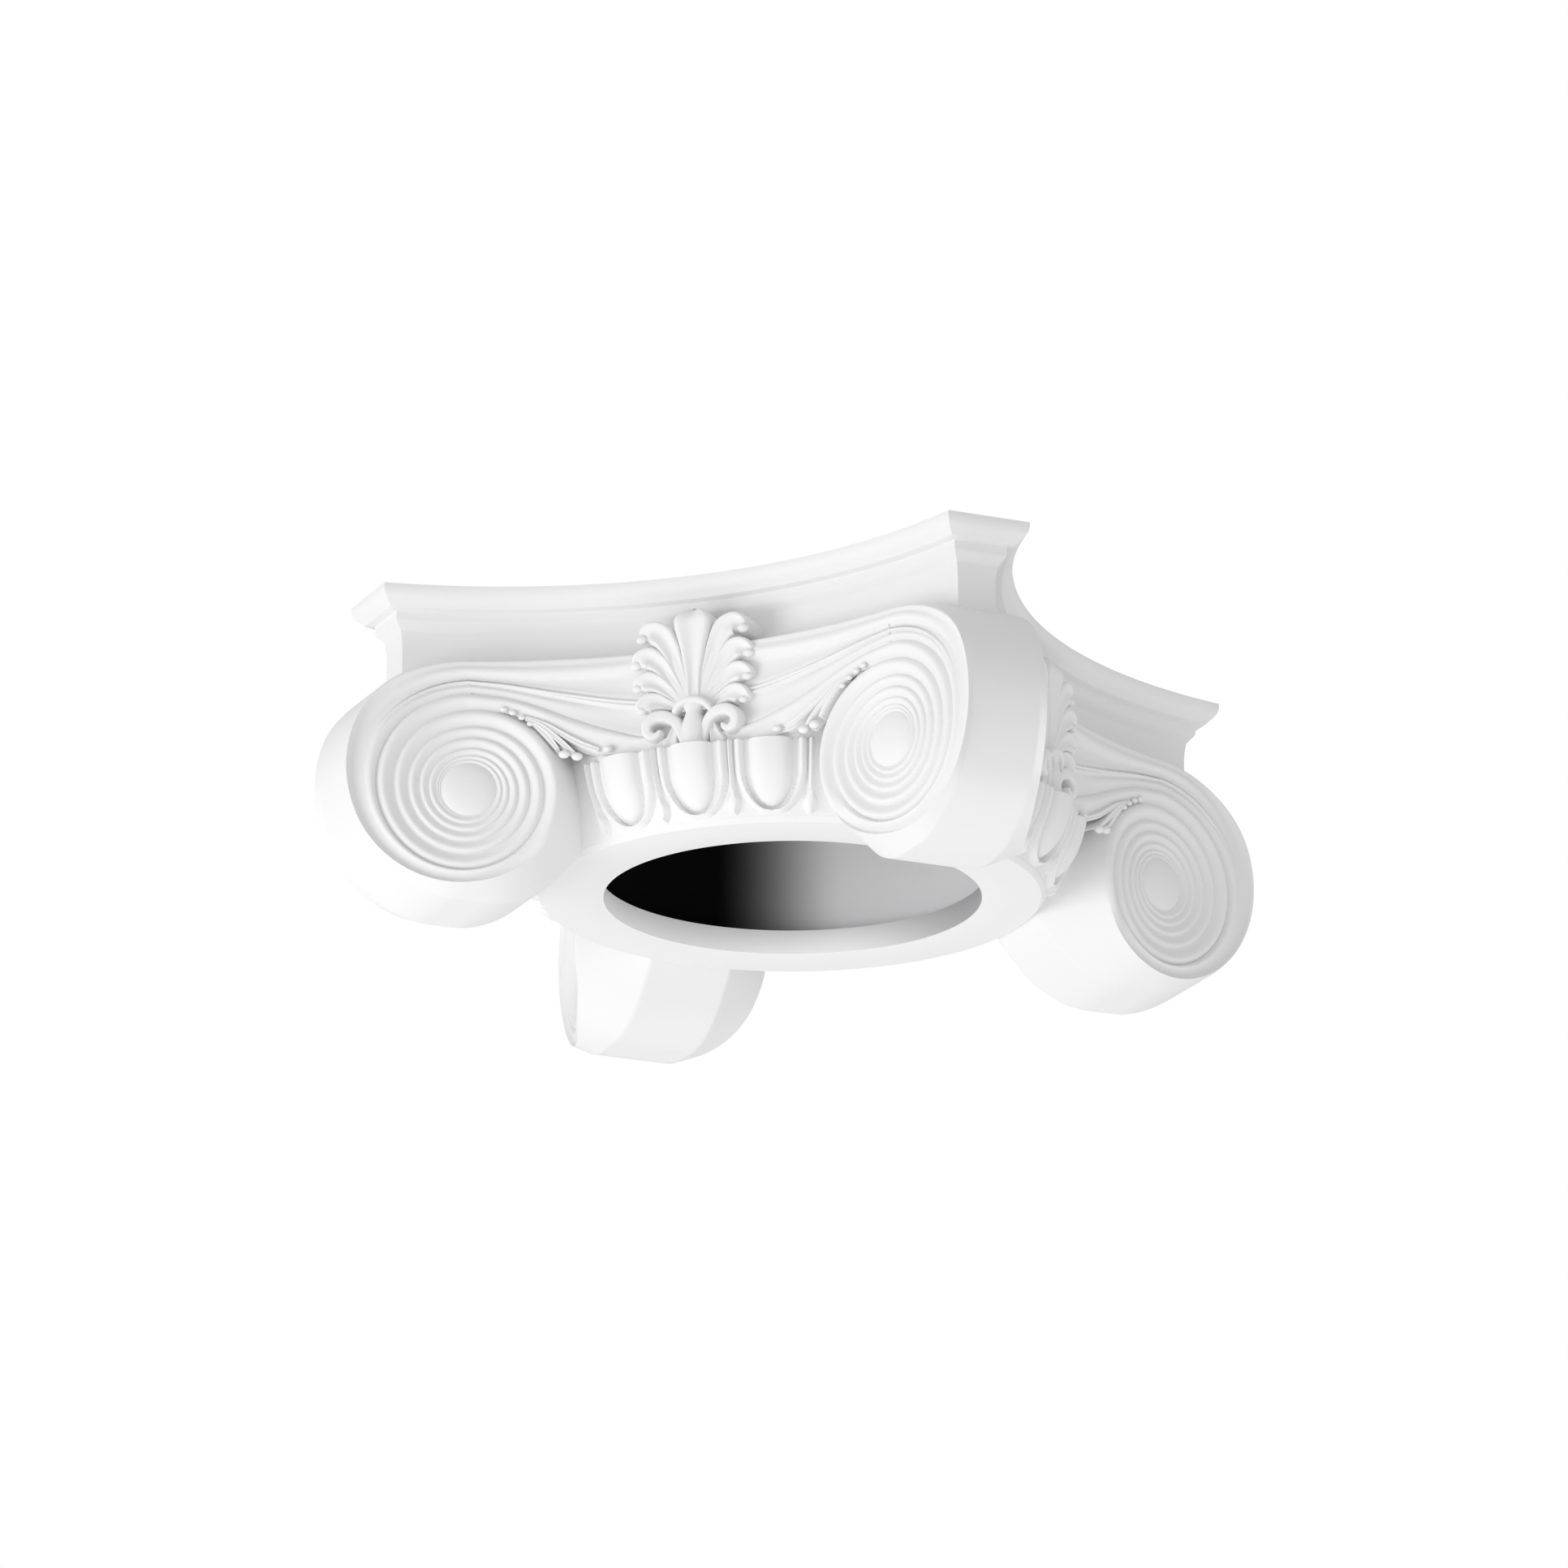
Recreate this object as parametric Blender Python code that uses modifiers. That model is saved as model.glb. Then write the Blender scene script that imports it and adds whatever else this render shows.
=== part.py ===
import math

import bmesh
import bpy
from mathutils import Matrix, Vector

# Overall size in metres. The shape is worked out in half widths of the abacus, down from its top face,
# so each size below is divided by this one and the carving between them keeps its proportions.
HALF_WIDTH = 0.210

# Abacus: its corner cut, the middle of its hollow side, and how far each line of its moulding stands in
CHAMFER_END = 0.1737 / HALF_WIDTH
SIDE_MIDDLE = 0.1572 / HALF_WIDTH
CYMA_INSET = 0.0061 / HALF_WIDTH
FILLET_INSET = 0.0114 / HALF_WIDTH
NECK_INSET = 0.0161 / HALF_WIDTH
NECK_FOOT_INSET = 0.0172 / HALF_WIDTH
EDGE_HEIGHT = 0.0026 / HALF_WIDTH
CYMA_FOOT = 0.0121 / HALF_WIDTH
FILLET_FOOT = 0.0180 / HALF_WIDTH
NECK_HEAD = 0.0237 / HALF_WIDTH
NECK_FOOT = 0.0550 / HALF_WIDTH

# Volutes and the channel between them
FACE_PROUD = 0.0017 / HALF_WIDTH
EYE_ALONG = 0.1333 / HALF_WIDTH
EYE_OUT = 0.2200 / HALF_WIDTH
EYE_DEPTH = 0.1243 / HALF_WIDTH
EYE_RADIUS = 0.0164 / HALF_WIDTH
RIM_TOP = 0.0781 / HALF_WIDTH
FIRST_GROOVE = 0.0663 / HALF_WIDTH
SECOND_GROOVE = 0.0584 / HALF_WIDTH
SECOND_TURN = 0.0482 / HALF_WIDTH
TURN_RATIO = 0.655
RELIEF = 0.0023 / HALF_WIDTH
BLOCK_HALF = 0.0223 / HALF_WIDTH
BLOCK_WIDEST = 0.0262 / HALF_WIDTH
BLOCK_OUT = 0.2919 / HALF_WIDTH
BLOCK_FLARE = 0.065
BAND_TOP = 0.0456 / HALF_WIDTH
FOOT_DEPTH = 0.1869 / HALF_WIDTH

# Echinus, ring and hollow
LEDGE_RADIUS = 0.1628 / HALF_WIDTH
LEDGE_DEPTH = 0.1046 / HALF_WIDTH
BELL_RADIUS = 0.1495 / HALF_WIDTH
RING_RADIUS = 0.1464 / HALF_WIDTH
RING_DEPTH = 0.1505 / HALF_WIDTH
HOLE_RADIUS = 0.1113 / HALF_WIDTH
LIP_HEIGHT = 0.0158 / HALF_WIDTH
HOLLOW_RADIUS = 0.1260 / HALF_WIDTH
EGG_WIDE = 0.0134 / HALF_WIDTH
EGG_TALL = 0.0248 / HALF_WIDTH
EGG_DEPTH = 0.1180 / HALF_WIDTH
EGG_SPREAD = 17.5
PALMETTE_REACH = 0.0605 / HALF_WIDTH
FAN_FOOT = 0.0815 / HALF_WIDTH

# Facets
FLAT_ANGLE = 1.0
ROUND_STEPS = 40
SIDE_STEPS = 8
TURN_STEPS = 15

SIDE_RISE = 1.0 - SIDE_MIDDLE
SIDE_RADIUS = (CHAMFER_END**2 + SIDE_RISE**2) / (2 * SIDE_RISE)
SIDE_CENTRE = SIDE_MIDDLE + SIDE_RADIUS
FACE_RADIUS = SIDE_RADIUS - FACE_PROUD


def smooth(t):
    t = min(1.0, max(0.0, t))
    return t * t * (3 - 2 * t)


def through(knots, x):
    """Smooth curve through (x, y) knots."""
    if x <= knots[0][0]:
        return knots[0][1]
    last = len(knots) - 1
    for k in range(last):
        x0, y0 = knots[k]
        x1, y1 = knots[k + 1]
        if x <= x1:
            before = knots[max(0, k - 1)]
            after = knots[min(last, k + 2)]
            m0 = (y1 - before[1]) / (x1 - before[0]) if k else (y1 - y0) / (x1 - x0)
            m1 = (after[1] - y0) / (after[0] - x0) if k + 1 < last else (y1 - y0) / (x1 - x0)
            h = x1 - x0
            t = (x - x0) / h
            a = y0 * (1 + 2 * t) * (1 - t) ** 2 + y1 * t * t * (3 - 2 * t)
            return a + h * (m0 * t * (1 - t) ** 2 - m1 * t * t * (1 - t))
    return knots[last][1]


def face_point(along, depth, proud):
    """A point of the front side: along the curved face, down from the top, and out of the face."""
    turn = along / FACE_RADIUS
    radius = FACE_RADIUS - proud
    return Vector((radius * math.sin(turn), radius * math.cos(turn) - SIDE_CENTRE, -depth))


def corner_point(out, across, depth):
    """A point of the front right corner, out along the diagonal and across it."""
    return Vector(((out + across) / math.sqrt(2), (across - out) / math.sqrt(2), -depth))


def new_object(name, verts, faces, collection):
    mesh = bpy.data.meshes.new(name)
    mesh.from_pydata([Vector(v) * HALF_WIDTH for v in verts], [], faces)
    mesh.update()
    bm = bmesh.new()
    bm.from_mesh(mesh)
    bmesh.ops.remove_doubles(bm, verts=bm.verts, dist=1e-6)
    bmesh.ops.triangulate(bm, faces=[f for f in bm.faces if len(f.verts) > 4])
    bmesh.ops.recalc_face_normals(bm, faces=bm.faces)
    if bm.calc_volume(signed=True) < 0:
        bmesh.ops.reverse_faces(bm, faces=bm.faces)
    bm.to_mesh(mesh)
    bm.free()
    obj = bpy.data.objects.new(name, mesh)
    collection.objects.link(obj)
    return obj


def stacked(loops, closed_ends=True):
    """Closed body through equal loops of points."""
    count = len(loops[0])
    verts = [p for loop in loops for p in loop]
    faces = []
    for k in range(len(loops) - 1):
        for i in range(count):
            j = (i + 1) % count
            faces.append((k * count + i, k * count + j, (k + 1) * count + j, (k + 1) * count + i))
    if closed_ends:
        faces.append(tuple(range(count)))
        faces.append(tuple(range((len(loops) - 1) * count, len(loops) * count)))
    return verts, faces


def turned(name, profile, collection):
    """Ring-shaped body: a closed (radius, depth) outline, outer side first, turned round the axis."""
    verts = [Vector((radius, 0, -depth)) * HALF_WIDTH for radius, depth in profile]
    count = len(verts)
    mesh = bpy.data.meshes.new(name)
    mesh.from_pydata(verts, [(i, (i + 1) % count) for i in range(count)], [])
    obj = bpy.data.objects.new(name, mesh)
    collection.objects.link(obj)
    screw = obj.modifiers.new("turn", "SCREW")
    screw.steps = screw.render_steps = ROUND_STEPS
    screw.use_merge_vertices = True
    screw.merge_threshold = 1e-5
    return obj


def on_each_side(verts, faces, sides=4):
    """The same body on every side of the capital."""
    all_verts, all_faces = [], []
    for k in range(sides):
        spin = Matrix.Rotation(math.pi / 2 * k, 3, "Z")
        base = len(all_verts)
        all_verts += [spin @ Vector(v) for v in verts]
        all_faces += [tuple(base + i for i in face) for face in faces]
    return all_verts, all_faces


def merged(bodies):
    verts, faces = [], []
    for body_verts, body_faces in bodies:
        base = len(verts)
        verts += [Vector(v) for v in body_verts]
        faces += [tuple(base + i for i in face) for face in body_faces]
    return verts, faces


def mirrored(verts, faces):
    return [Vector((-v[0], v[1], v[2])) for v in verts], [tuple(reversed(f)) for f in faces]


# Abacus
def abacus_outline(inset, depth):
    loop = []
    radius = SIDE_RADIUS + inset
    cut = (1 + CHAMFER_END) - inset * math.sqrt(2)
    # Where the side's arc meets the line of the chamfer, x - y = cut
    c = SIDE_CENTRE - cut
    x = (-c + math.sqrt(2 * radius**2 - c * c)) / 2
    end = math.asin(x / radius)
    for side in range(4):
        spin = Matrix.Rotation(math.pi / 2 * side, 3, "Z")
        for i in range(SIDE_STEPS + 1):
            turn = -end + 2 * end * i / SIDE_STEPS
            x, y = radius * math.sin(turn), radius * math.cos(turn) - SIDE_CENTRE
            loop.append(spin @ Vector((x, y, -depth)))
    return loop


def abacus():
    cyma = CYMA_FOOT - EDGE_HEIGHT
    lines = [
        (0, 0),
        (0, EDGE_HEIGHT),
        (0.10 * CYMA_INSET, EDGE_HEIGHT + 0.28 * cyma),
        (0.36 * CYMA_INSET, EDGE_HEIGHT + 0.56 * cyma),
        (0.81 * CYMA_INSET, EDGE_HEIGHT + 0.79 * cyma),
        (CYMA_INSET, CYMA_FOOT),
        (FILLET_INSET - 0.002, CYMA_FOOT + 0.001),
        (FILLET_INSET, FILLET_FOOT),
        (FILLET_INSET + 0.35 * (NECK_INSET - FILLET_INSET), FILLET_FOOT + 0.44 * (NECK_HEAD - FILLET_FOOT)),
        (NECK_INSET, NECK_HEAD),
        (NECK_FOOT_INSET, NECK_FOOT),
    ]
    return stacked([abacus_outline(inset, depth) for inset, depth in lines])


# Spiral lines of a volute, as radii from the eye, where 0 is straight up and a quarter turn is outward
def rim(turn):
    quarter = turn / (math.pi / 2)
    shares = [(0, 1), (0.6, 0.997), (1, 0.909), (1.6, 0.780), (2, 0.723), (2.5, 0.710), (3, 0.681),
              (3.5, 0.657)]
    return through([(q, share * RIM_TOP) for q, share in shares] + [(4, SECOND_TURN)], quarter)


def first_groove(turn):
    if turn < 2 * math.pi:
        share = turn / (2 * math.pi)
        return min(FIRST_GROOVE * (SECOND_TURN / FIRST_GROOVE) ** share, rim(turn) - 0.016 * (1 - share))
    return SECOND_TURN * TURN_RATIO ** (turn / (2 * math.pi) - 1)


def second_groove(turn):
    return SECOND_GROOVE * TURN_RATIO ** (turn / (2 * math.pi))


def block_edge(turn):
    """Edge between the barrel of a corner and the slopes beside it, as radii in its upright plane."""
    quarter = turn / (math.pi / 2)
    shares = [(0, 1), (0.35, 1.040), (0.6, 1.016), (0.85, 0.962), (1.1, 0.890), (1.4, 0.860),
              (1.7, 0.820), (2, 0.801), (2.2, 0.828), (2.5, 0.900), (2.78, 1.000), (3.1, 1.075),
              (3.5, 1.062), (4, 1)]
    return through([(q, share * RIM_TOP) for q, share in shares], quarter)


def disc_point(turn, radius, proud):
    return face_point(EYE_ALONG + radius * math.sin(turn), EYE_DEPTH - radius * math.cos(turn), proud)


def volute_blocks():
    step = 2 * math.pi / TURN_STEPS
    turns = 2
    last = int(turns * TURN_STEPS)
    verts, faces, names = [], [], {}

    def put(key, point):
        names[key] = len(verts)
        verts.append(point)
        return names[key]

    low, high = -RELIEF * 0.55, RELIEF * 0.8
    for i in range(last + 1):
        turn = i * step
        g1, g2 = first_groove(turn), second_groove(turn)
        next1 = first_groove(turn + 2 * math.pi)
        if i <= TURN_STEPS:
            edge = rim(turn)
            fade = 1 - turn / (2 * math.pi)
            if i < TURN_STEPS:
                put(("rim", i), disc_point(turn, edge, low))
                crest = low + (high - low) * smooth(1.6 * fade)
                put(("a", i), disc_point(turn, g1 + 0.5 * (edge - g1), crest))
        put(("g1", i), disc_point(turn, g1, low))
        put(("b", i), disc_point(turn, 0.5 * (g1 + g2), high))
        put(("g2", i), disc_point(turn, g2, low))
        put(("c", i), disc_point(turn, 0.5 * (g2 + next1), high * 0.8))
    names[("rim", TURN_STEPS)] = names[("g1", TURN_STEPS)]
    names[("a", TURN_STEPS)] = names[("g1", TURN_STEPS)]
    for i in range(last):
        if i < TURN_STEPS:
            rows = ["rim", "a", "g1"]
            for p, q in zip(rows, rows[1:]):
                faces.append((names[(p, i)], names[(q, i)], names[(q, i + 1)], names[(p, i + 1)]))
        rows = ["g1", "b", "g2", "c"]
        for p, q in zip(rows, rows[1:]):
            faces.append((names[(p, i)], names[(q, i)], names[(q, i + 1)], names[(p, i + 1)]))
        if i + 1 + TURN_STEPS <= last:
            p, q = ("c", i), ("g1", i + TURN_STEPS)
            faces.append((names[p], names[q], names[("g1", i + 1 + TURN_STEPS)], names[("c", i + 1)]))
    # The eye and the last part turn that winds into it
    centre = put("eye", face_point(EYE_ALONG, EYE_DEPTH, high * 1.3))
    first_open = last - TURN_STEPS
    ring = [names[("c", i)] for i in range(first_open, last + 1)]
    eye_ring = []
    for i in range(TURN_STEPS):
        turn = (first_open + i) * step
        eye_ring.append(put(("eye", i), disc_point(turn, EYE_RADIUS, low)))
    for i in range(TURN_STEPS):
        j = (i + 1) % TURN_STEPS
        faces.append((eye_ring[i], centre, eye_ring[j]))
        if i:
            faces.append((ring[i], eye_ring[i], eye_ring[j], ring[i + 1]))
    band_end = [ring[0], names[("g1", last)], names[("b", last)], names[("g2", last)], ring[TURN_STEPS]]
    band_end += [eye_ring[0], eye_ring[1]]
    for p, q in zip(band_end, band_end[1:]):
        faces.append((ring[1], p, q))
    faces = [tuple(dict.fromkeys(f)) for f in faces]
    faces = [f for f in faces if len(f) > 2]

    # The loop round the disc: the rim, then back up the line over the eye where the channel leaves it
    loop = [names[("rim", i)] for i in range(TURN_STEPS + 1)]
    loop += [names[(k, 0)] for k in ("c", "g2", "b", "g1", "a")]
    edge = []
    for i in range(TURN_STEPS + 1):
        turn = i * step
        r = block_edge(turn)
        depth = FOOT_DEPTH if abs(turn - math.pi) < step else EYE_DEPTH - r * math.cos(turn)
        edge.append((EYE_OUT + r * math.sin(turn), depth))
    top = edge.pop()
    for k in range(6):
        edge.append((top[0] - 0.060 + 0.010 * k, top[1] + 0.001 * (6 - k)))
    count = len(loop)
    near, far = [], []
    for out, depth in edge:
        half = min(BLOCK_WIDEST, BLOCK_HALF + BLOCK_FLARE * (BLOCK_OUT - out))
        near.append(corner_point(out, -half, depth))
        far.append(corner_point(out, half, depth))
    base = len(verts)
    front = list(verts)
    verts += near + far
    twin = len(verts)
    verts += [Vector((-v.y, -v.x, v.z)) for v in front]
    for i in range(count):
        j = (i + 1) % count
        faces.append((loop[i], loop[j], base + j, base + i))
        faces.append((base + i, base + j, base + count + j, base + count + i))
        faces.append((base + count + i, base + count + j, twin + loop[j], twin + loop[i]))
    disc = [f for f in faces if max(f) < base]
    faces += [tuple(twin + i for i in reversed(f)) for f in disc]
    return on_each_side(verts, faces)


# The channel between the volutes: a raised band, a fillet that sags, a hollow and a lower band
def sagging(at_eye, at_middle, bend, along):
    t = min(1.0, abs(along) / (0.98 * EYE_ALONG))
    return at_middle + (at_eye - at_middle) * smooth(t**bend)


def channel_foot(along):
    reach = abs(along) - EYE_ALONG
    if reach > -0.25:
        best = None
        for k in range(60):
            turn = math.pi * (1.5 + 0.5 * k / 59)
            r = rim(turn) - 0.012
            gap = abs(r * math.sin(turn) - reach)
            if best is None or gap < best[0]:
                best = (gap, EYE_DEPTH - r * math.cos(turn))
        return min(LEDGE_DEPTH, best[1])
    return LEDGE_DEPTH


def channels():
    steps = 10
    low, high = -RELIEF * 0.7, RELIEF * 0.7
    reach = EYE_ALONG - 0.020
    fronts, backs = [], []
    spots = [reach * (2 * i / steps - 1) for i in range(steps + 1)]
    spots = [-EYE_ALONG - 0.012] + spots + [EYE_ALONG + 0.012]
    for along in spots:
        sunk = -0.060 if abs(along) > EYE_ALONG else 0
        g1 = sagging(EYE_DEPTH - FIRST_GROOVE, EYE_DEPTH - 0.240, 1.2, along)
        g2 = sagging(EYE_DEPTH - SECOND_GROOVE, EYE_DEPTH - 0.122, 1.12, along)
        foot = channel_foot(along)
        leaf = 0.008 + 0.066 * smooth(1 - abs(abs(along) - 0.37) / 0.19) * (abs(along) > 0.2)
        foot = min(foot, LEDGE_DEPTH - 0.3 * leaf)
        g2 = min(g2, foot - 0.012)
        hollow = -RELIEF * 2.4 * (1 - smooth(abs(along) / EYE_ALONG))
        fillet = min(0.018, 0.35 * (g2 - g1))
        lines = [
            (BAND_TOP, low),
            (BAND_TOP + 0.35 * (g1 - BAND_TOP), high),
            (g1, low + hollow * 0.5),
            (g1 + fillet, high * 0.4),
            (0.5 * (g1 + fillet + g2), high * 0.4 + hollow),
            (g2, low + hollow * 0.5),
            (0.5 * (g2 + foot), high * 0.5),
            (foot, low),
            (foot + 0.5 * leaf, 0.012 if leaf > 0.01 else low - 0.004),
            (foot + leaf, low - 0.016),
        ]
        fronts.append([face_point(along, depth, proud + sunk) for depth, proud in lines])
        spot = face_point(along, 0, 0)
        inward = (HOLLOW_RADIUS - 0.040) / spot.length
        depths = (BAND_TOP + 0.006, foot + leaf - 0.012)
        backs.append([Vector((spot.x * inward, spot.y * inward, -depth)) for depth in depths])
    loops = [front + [back[1], back[0]] for front, back in zip(fronts, backs)]
    return on_each_side(*stacked(loops))


# Echinus
def polar(radius, degrees, depth):
    a = math.radians(degrees)
    return Vector((radius * math.sin(a), -radius * math.cos(a), -depth))


def bell(collection):
    """The round core with its ledge, its egg band and the flat ring under it."""
    return turned("capital", [
        (BELL_RADIUS - 0.110, BAND_TOP + 0.025),
        (BELL_RADIUS - 0.012, LEDGE_DEPTH - 0.022),
        (LEDGE_RADIUS - 0.008, LEDGE_DEPTH - 0.010),
        (LEDGE_RADIUS, LEDGE_DEPTH + 0.006),
        (BELL_RADIUS + 0.033, LEDGE_DEPTH + 0.022),
        (BELL_RADIUS + 0.010, LEDGE_DEPTH + 0.075),
        (BELL_RADIUS, LEDGE_DEPTH + 0.150),
        (BELL_RADIUS + 0.004, RING_DEPTH - 0.026),
        (RING_RADIUS, RING_DEPTH),
        (HOLE_RADIUS, RING_DEPTH),
        (HOLE_RADIUS, BAND_TOP + 0.025),
    ], collection)


def egg(degrees):
    """An egg: a ball stretched upright, its inner half in the bell."""
    bm = bmesh.new()
    bmesh.ops.create_uvsphere(bm, u_segments=8, v_segments=6, radius=1)
    turn = math.radians(degrees)
    size = Matrix.Diagonal((EGG_WIDE, EGG_WIDE + 0.002, EGG_TALL, 1))
    place = Matrix.Translation(polar(BELL_RADIUS - 0.022, degrees, EGG_DEPTH)) @ Matrix.Rotation(turn, 4, "Z")
    bmesh.ops.transform(bm, matrix=place @ size, verts=bm.verts)
    verts = [v.co.copy() for v in bm.verts]
    faces = [tuple(v.index for v in f.verts) for f in bm.faces]
    bm.free()
    return verts, faces


def shell(degrees):
    """Raised border round the lower part of an egg."""
    steps = 7
    loops = []
    for k in range(steps + 1):
        t = math.radians(-100 + 200 * k / steps)
        along, drop = (EGG_WIDE + 0.022) * math.sin(t), EGG_DEPTH + (EGG_TALL + 0.004) * math.cos(t)
        wide, fall = (EGG_WIDE + 0.002) * math.sin(t), EGG_DEPTH + (EGG_TALL - 0.016) * math.cos(t)
        radius = BELL_RADIUS + 0.030 - 0.012 * smooth((drop - EGG_DEPTH) / EGG_TALL)
        bend = math.degrees(1 / (BELL_RADIUS + 0.018))
        outer = polar(radius - 0.045, degrees + bend * along, drop)
        crest = polar(radius, degrees + bend * 0.93 * along, 0.93 * drop + 0.07 * EGG_DEPTH)
        inner = polar(radius - 0.045, degrees + bend * wide, fall)
        loops.append([outer, crest, inner])
    return stacked(loops)


def dart(degrees):
    front = BELL_RADIUS + 0.023
    lines = [(LEDGE_DEPTH, 0.008, front), (EGG_DEPTH + 0.038, 0.008, front),
             (EGG_DEPTH + 0.083, 0.018, front), (EGG_DEPTH + 0.126, 0.002, front - 0.013)]
    loops = []
    for depth, half, radius in lines:
        swing = math.degrees(half / front)
        root = BELL_RADIUS - 0.032
        loops.append([polar(root, degrees - swing, depth), polar(radius, degrees, depth),
                      polar(root, degrees + swing, depth)])
    return stacked(loops)


def hollow():
    """What is taken out above the lip: a wide round shaft, open at the top."""
    lip = RING_DEPTH - LIP_HEIGHT
    loops = []
    for radius, depth in ((HOLE_RADIUS + 0.04, lip - 0.002), (HOLLOW_RADIUS, lip - 0.05), (HOLLOW_RADIUS, -0.05)):
        loops.append([polar(radius, 360 * (i + 0.5) / ROUND_STEPS, depth) for i in range(ROUND_STEPS)])
    return stacked(loops)


# Palmette
# Each lobe: its slant, its length and half its width as shares of the middle lobe's length
LOBES = [(0.0, 1, 0.16), (27.5, 0.99, 0.139), (46.0, 0.91, 0.118), (60.0, 0.77, 0.108), (76.0, 0.62, 0.104)]


def palmette_fan():
    spokes = []
    lobes = [(angle, reach * PALMETTE_REACH, half * PALMETTE_REACH) for angle, reach, half in LOBES]
    order = [(-angle, reach, half) for angle, reach, half in reversed(lobes[1:])] + lobes
    for k, (angle, reach, half) in enumerate(order):
        if k == 0:
            spokes.append((angle - 21, reach * 0.50, 0.0))
        spread = 0.62 * math.degrees(half / reach)
        spokes.append((angle - spread, reach, 1.0))
        spokes.append((angle + spread, reach, 1.0))
        if k + 1 < len(order):
            nxt = order[k + 1]
            spokes.append((0.5 * (angle + nxt[0]), 0.80 * min(reach, nxt[1]), 0.0))
        else:
            spokes.append((angle + 21, reach * 0.50, 0.0))
    rows = (0.16, 0.70, 1.0)
    loops = []
    for angle, reach, lift in spokes:
        a = math.radians(angle)
        line = []
        for t in rows:
            proud = 0.004 + 0.034 * lift * math.sin(math.pi * min(1.0, 0.18 + 0.7 * t)) + 0.012 * t * t
            if t == 1.0:
                proud -= 0.020
            line.append(face_point(reach * t * math.sin(a), FAN_FOOT - reach * t * math.cos(a), proud))
        line.append(face_point(reach * math.sin(a), FAN_FOOT - reach * math.cos(a), -0.100))
        line.append(face_point(reach * 0.16 * math.sin(a), FAN_FOOT - reach * 0.16 * math.cos(a), -0.100))
        loops.append(line)
    return stacked(loops)


def palmette_stem():
    loops = []
    lines = [(FAN_FOOT - 0.026, 0.030, 0.018), (FAN_FOOT - 0.016, 0.046, 0.034),
             (FAN_FOOT + 0.004, 0.052, 0.034), (FAN_FOOT + 0.012, 0.038, 0.022),
             (FAN_FOOT + 0.032, 0.033, 0.026), (LEDGE_DEPTH + 0.004, 0.036, 0.030)]
    for depth, half, proud in lines:
        loop = [face_point(-half, depth, -0.10), face_point(-half, depth, proud - 0.022),
                face_point(-half * 0.55, depth, proud), face_point(half * 0.55, depth, proud),
                face_point(half, depth, proud - 0.022), face_point(half, depth, -0.10)]
        loops.append(loop)
    return stacked(loops)


def primer():
    """Smooth white primer."""
    material = bpy.data.materials.new("white_primer")
    material.use_nodes = True
    shader = material.node_tree.nodes["Principled BSDF"]
    shader.inputs["Base Color"].default_value = (0.83, 0.83, 0.82, 1)
    shader.inputs["Roughness"].default_value = 0.62
    return material


# Building
for old in list(bpy.data.objects):
    bpy.data.objects.remove(old, do_unlink=True)
scene = bpy.context.scene
parts = bpy.data.collections.new("ionic_capital")
cutters = bpy.data.collections.new("helpers")
scene.collection.children.link(parts)
scene.collection.children.link(cutters)
cutters.hide_render = True

capital = bell(parts)
capital.data.materials.append(primer())


def combine(name, body, operation="UNION"):
    helper = new_object(name, *body, cutters)
    helper.hide_render = True
    helper.display_type = "WIRE"
    modifier = capital.modifiers.new(name, "BOOLEAN")
    modifier.operation = operation
    modifier.object = helper
    modifier.solver = "EXACT"


combine("volutes", volute_blocks())
combine("channels", channels())
combine("abacus", abacus())
combine("eggs", on_each_side(*merged([egg(-EGG_SPREAD), egg(0), egg(EGG_SPREAD)])))
combine("shells", on_each_side(*merged([shell(-EGG_SPREAD), shell(0), shell(EGG_SPREAD)])))
combine("darts", on_each_side(*merged([dart(-EGG_SPREAD / 2), dart(EGG_SPREAD / 2)])))
combine("fans", on_each_side(*palmette_fan()))
combine("stems", on_each_side(*palmette_stem()))
thinned = capital.modifiers.new("thinned", "DECIMATE")
thinned.decimate_type = "DISSOLVE"
thinned.angle_limit = math.radians(FLAT_ANGLE)
combine("hollow", hollow(), "DIFFERENCE")

# The feet of the volutes rest at zero
lift = Matrix.Translation((0, 0, FOOT_DEPTH * HALF_WIDTH))
for obj in list(parts.objects) + list(cutters.objects):
    obj.data.transform(lift)
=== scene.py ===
import math
import bpy
import numpy as np
from mathutils import Matrix, Vector


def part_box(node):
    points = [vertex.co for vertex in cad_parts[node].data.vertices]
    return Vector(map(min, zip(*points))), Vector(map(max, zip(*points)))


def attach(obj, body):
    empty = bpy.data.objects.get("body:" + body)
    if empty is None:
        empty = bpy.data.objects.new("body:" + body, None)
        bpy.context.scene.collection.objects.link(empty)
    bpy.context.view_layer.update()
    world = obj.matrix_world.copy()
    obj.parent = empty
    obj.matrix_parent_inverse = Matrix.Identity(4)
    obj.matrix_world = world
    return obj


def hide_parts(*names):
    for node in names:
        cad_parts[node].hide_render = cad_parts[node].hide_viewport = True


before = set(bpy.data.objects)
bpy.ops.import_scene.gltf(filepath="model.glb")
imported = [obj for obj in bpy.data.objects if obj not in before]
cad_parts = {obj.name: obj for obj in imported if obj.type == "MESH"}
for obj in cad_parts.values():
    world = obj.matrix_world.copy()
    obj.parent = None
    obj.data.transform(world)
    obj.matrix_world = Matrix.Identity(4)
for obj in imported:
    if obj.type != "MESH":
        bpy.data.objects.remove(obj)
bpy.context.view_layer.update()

# Every length below is a share of the half width of the abacus, and depths count down from its top face.
# s runs along a side's hollow face from its middle, d down it, and n out of it.
capital = {
    "halfWidth": 0.210,  # metres
    "chamferEnd": 0.827,
    "sideMiddle": 0.7486,
    "faceProud": 0.008,
    "eyeAlong": 0.6346,
    "eyeDepth": 0.592,
}
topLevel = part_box("capital")[1][2]
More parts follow.
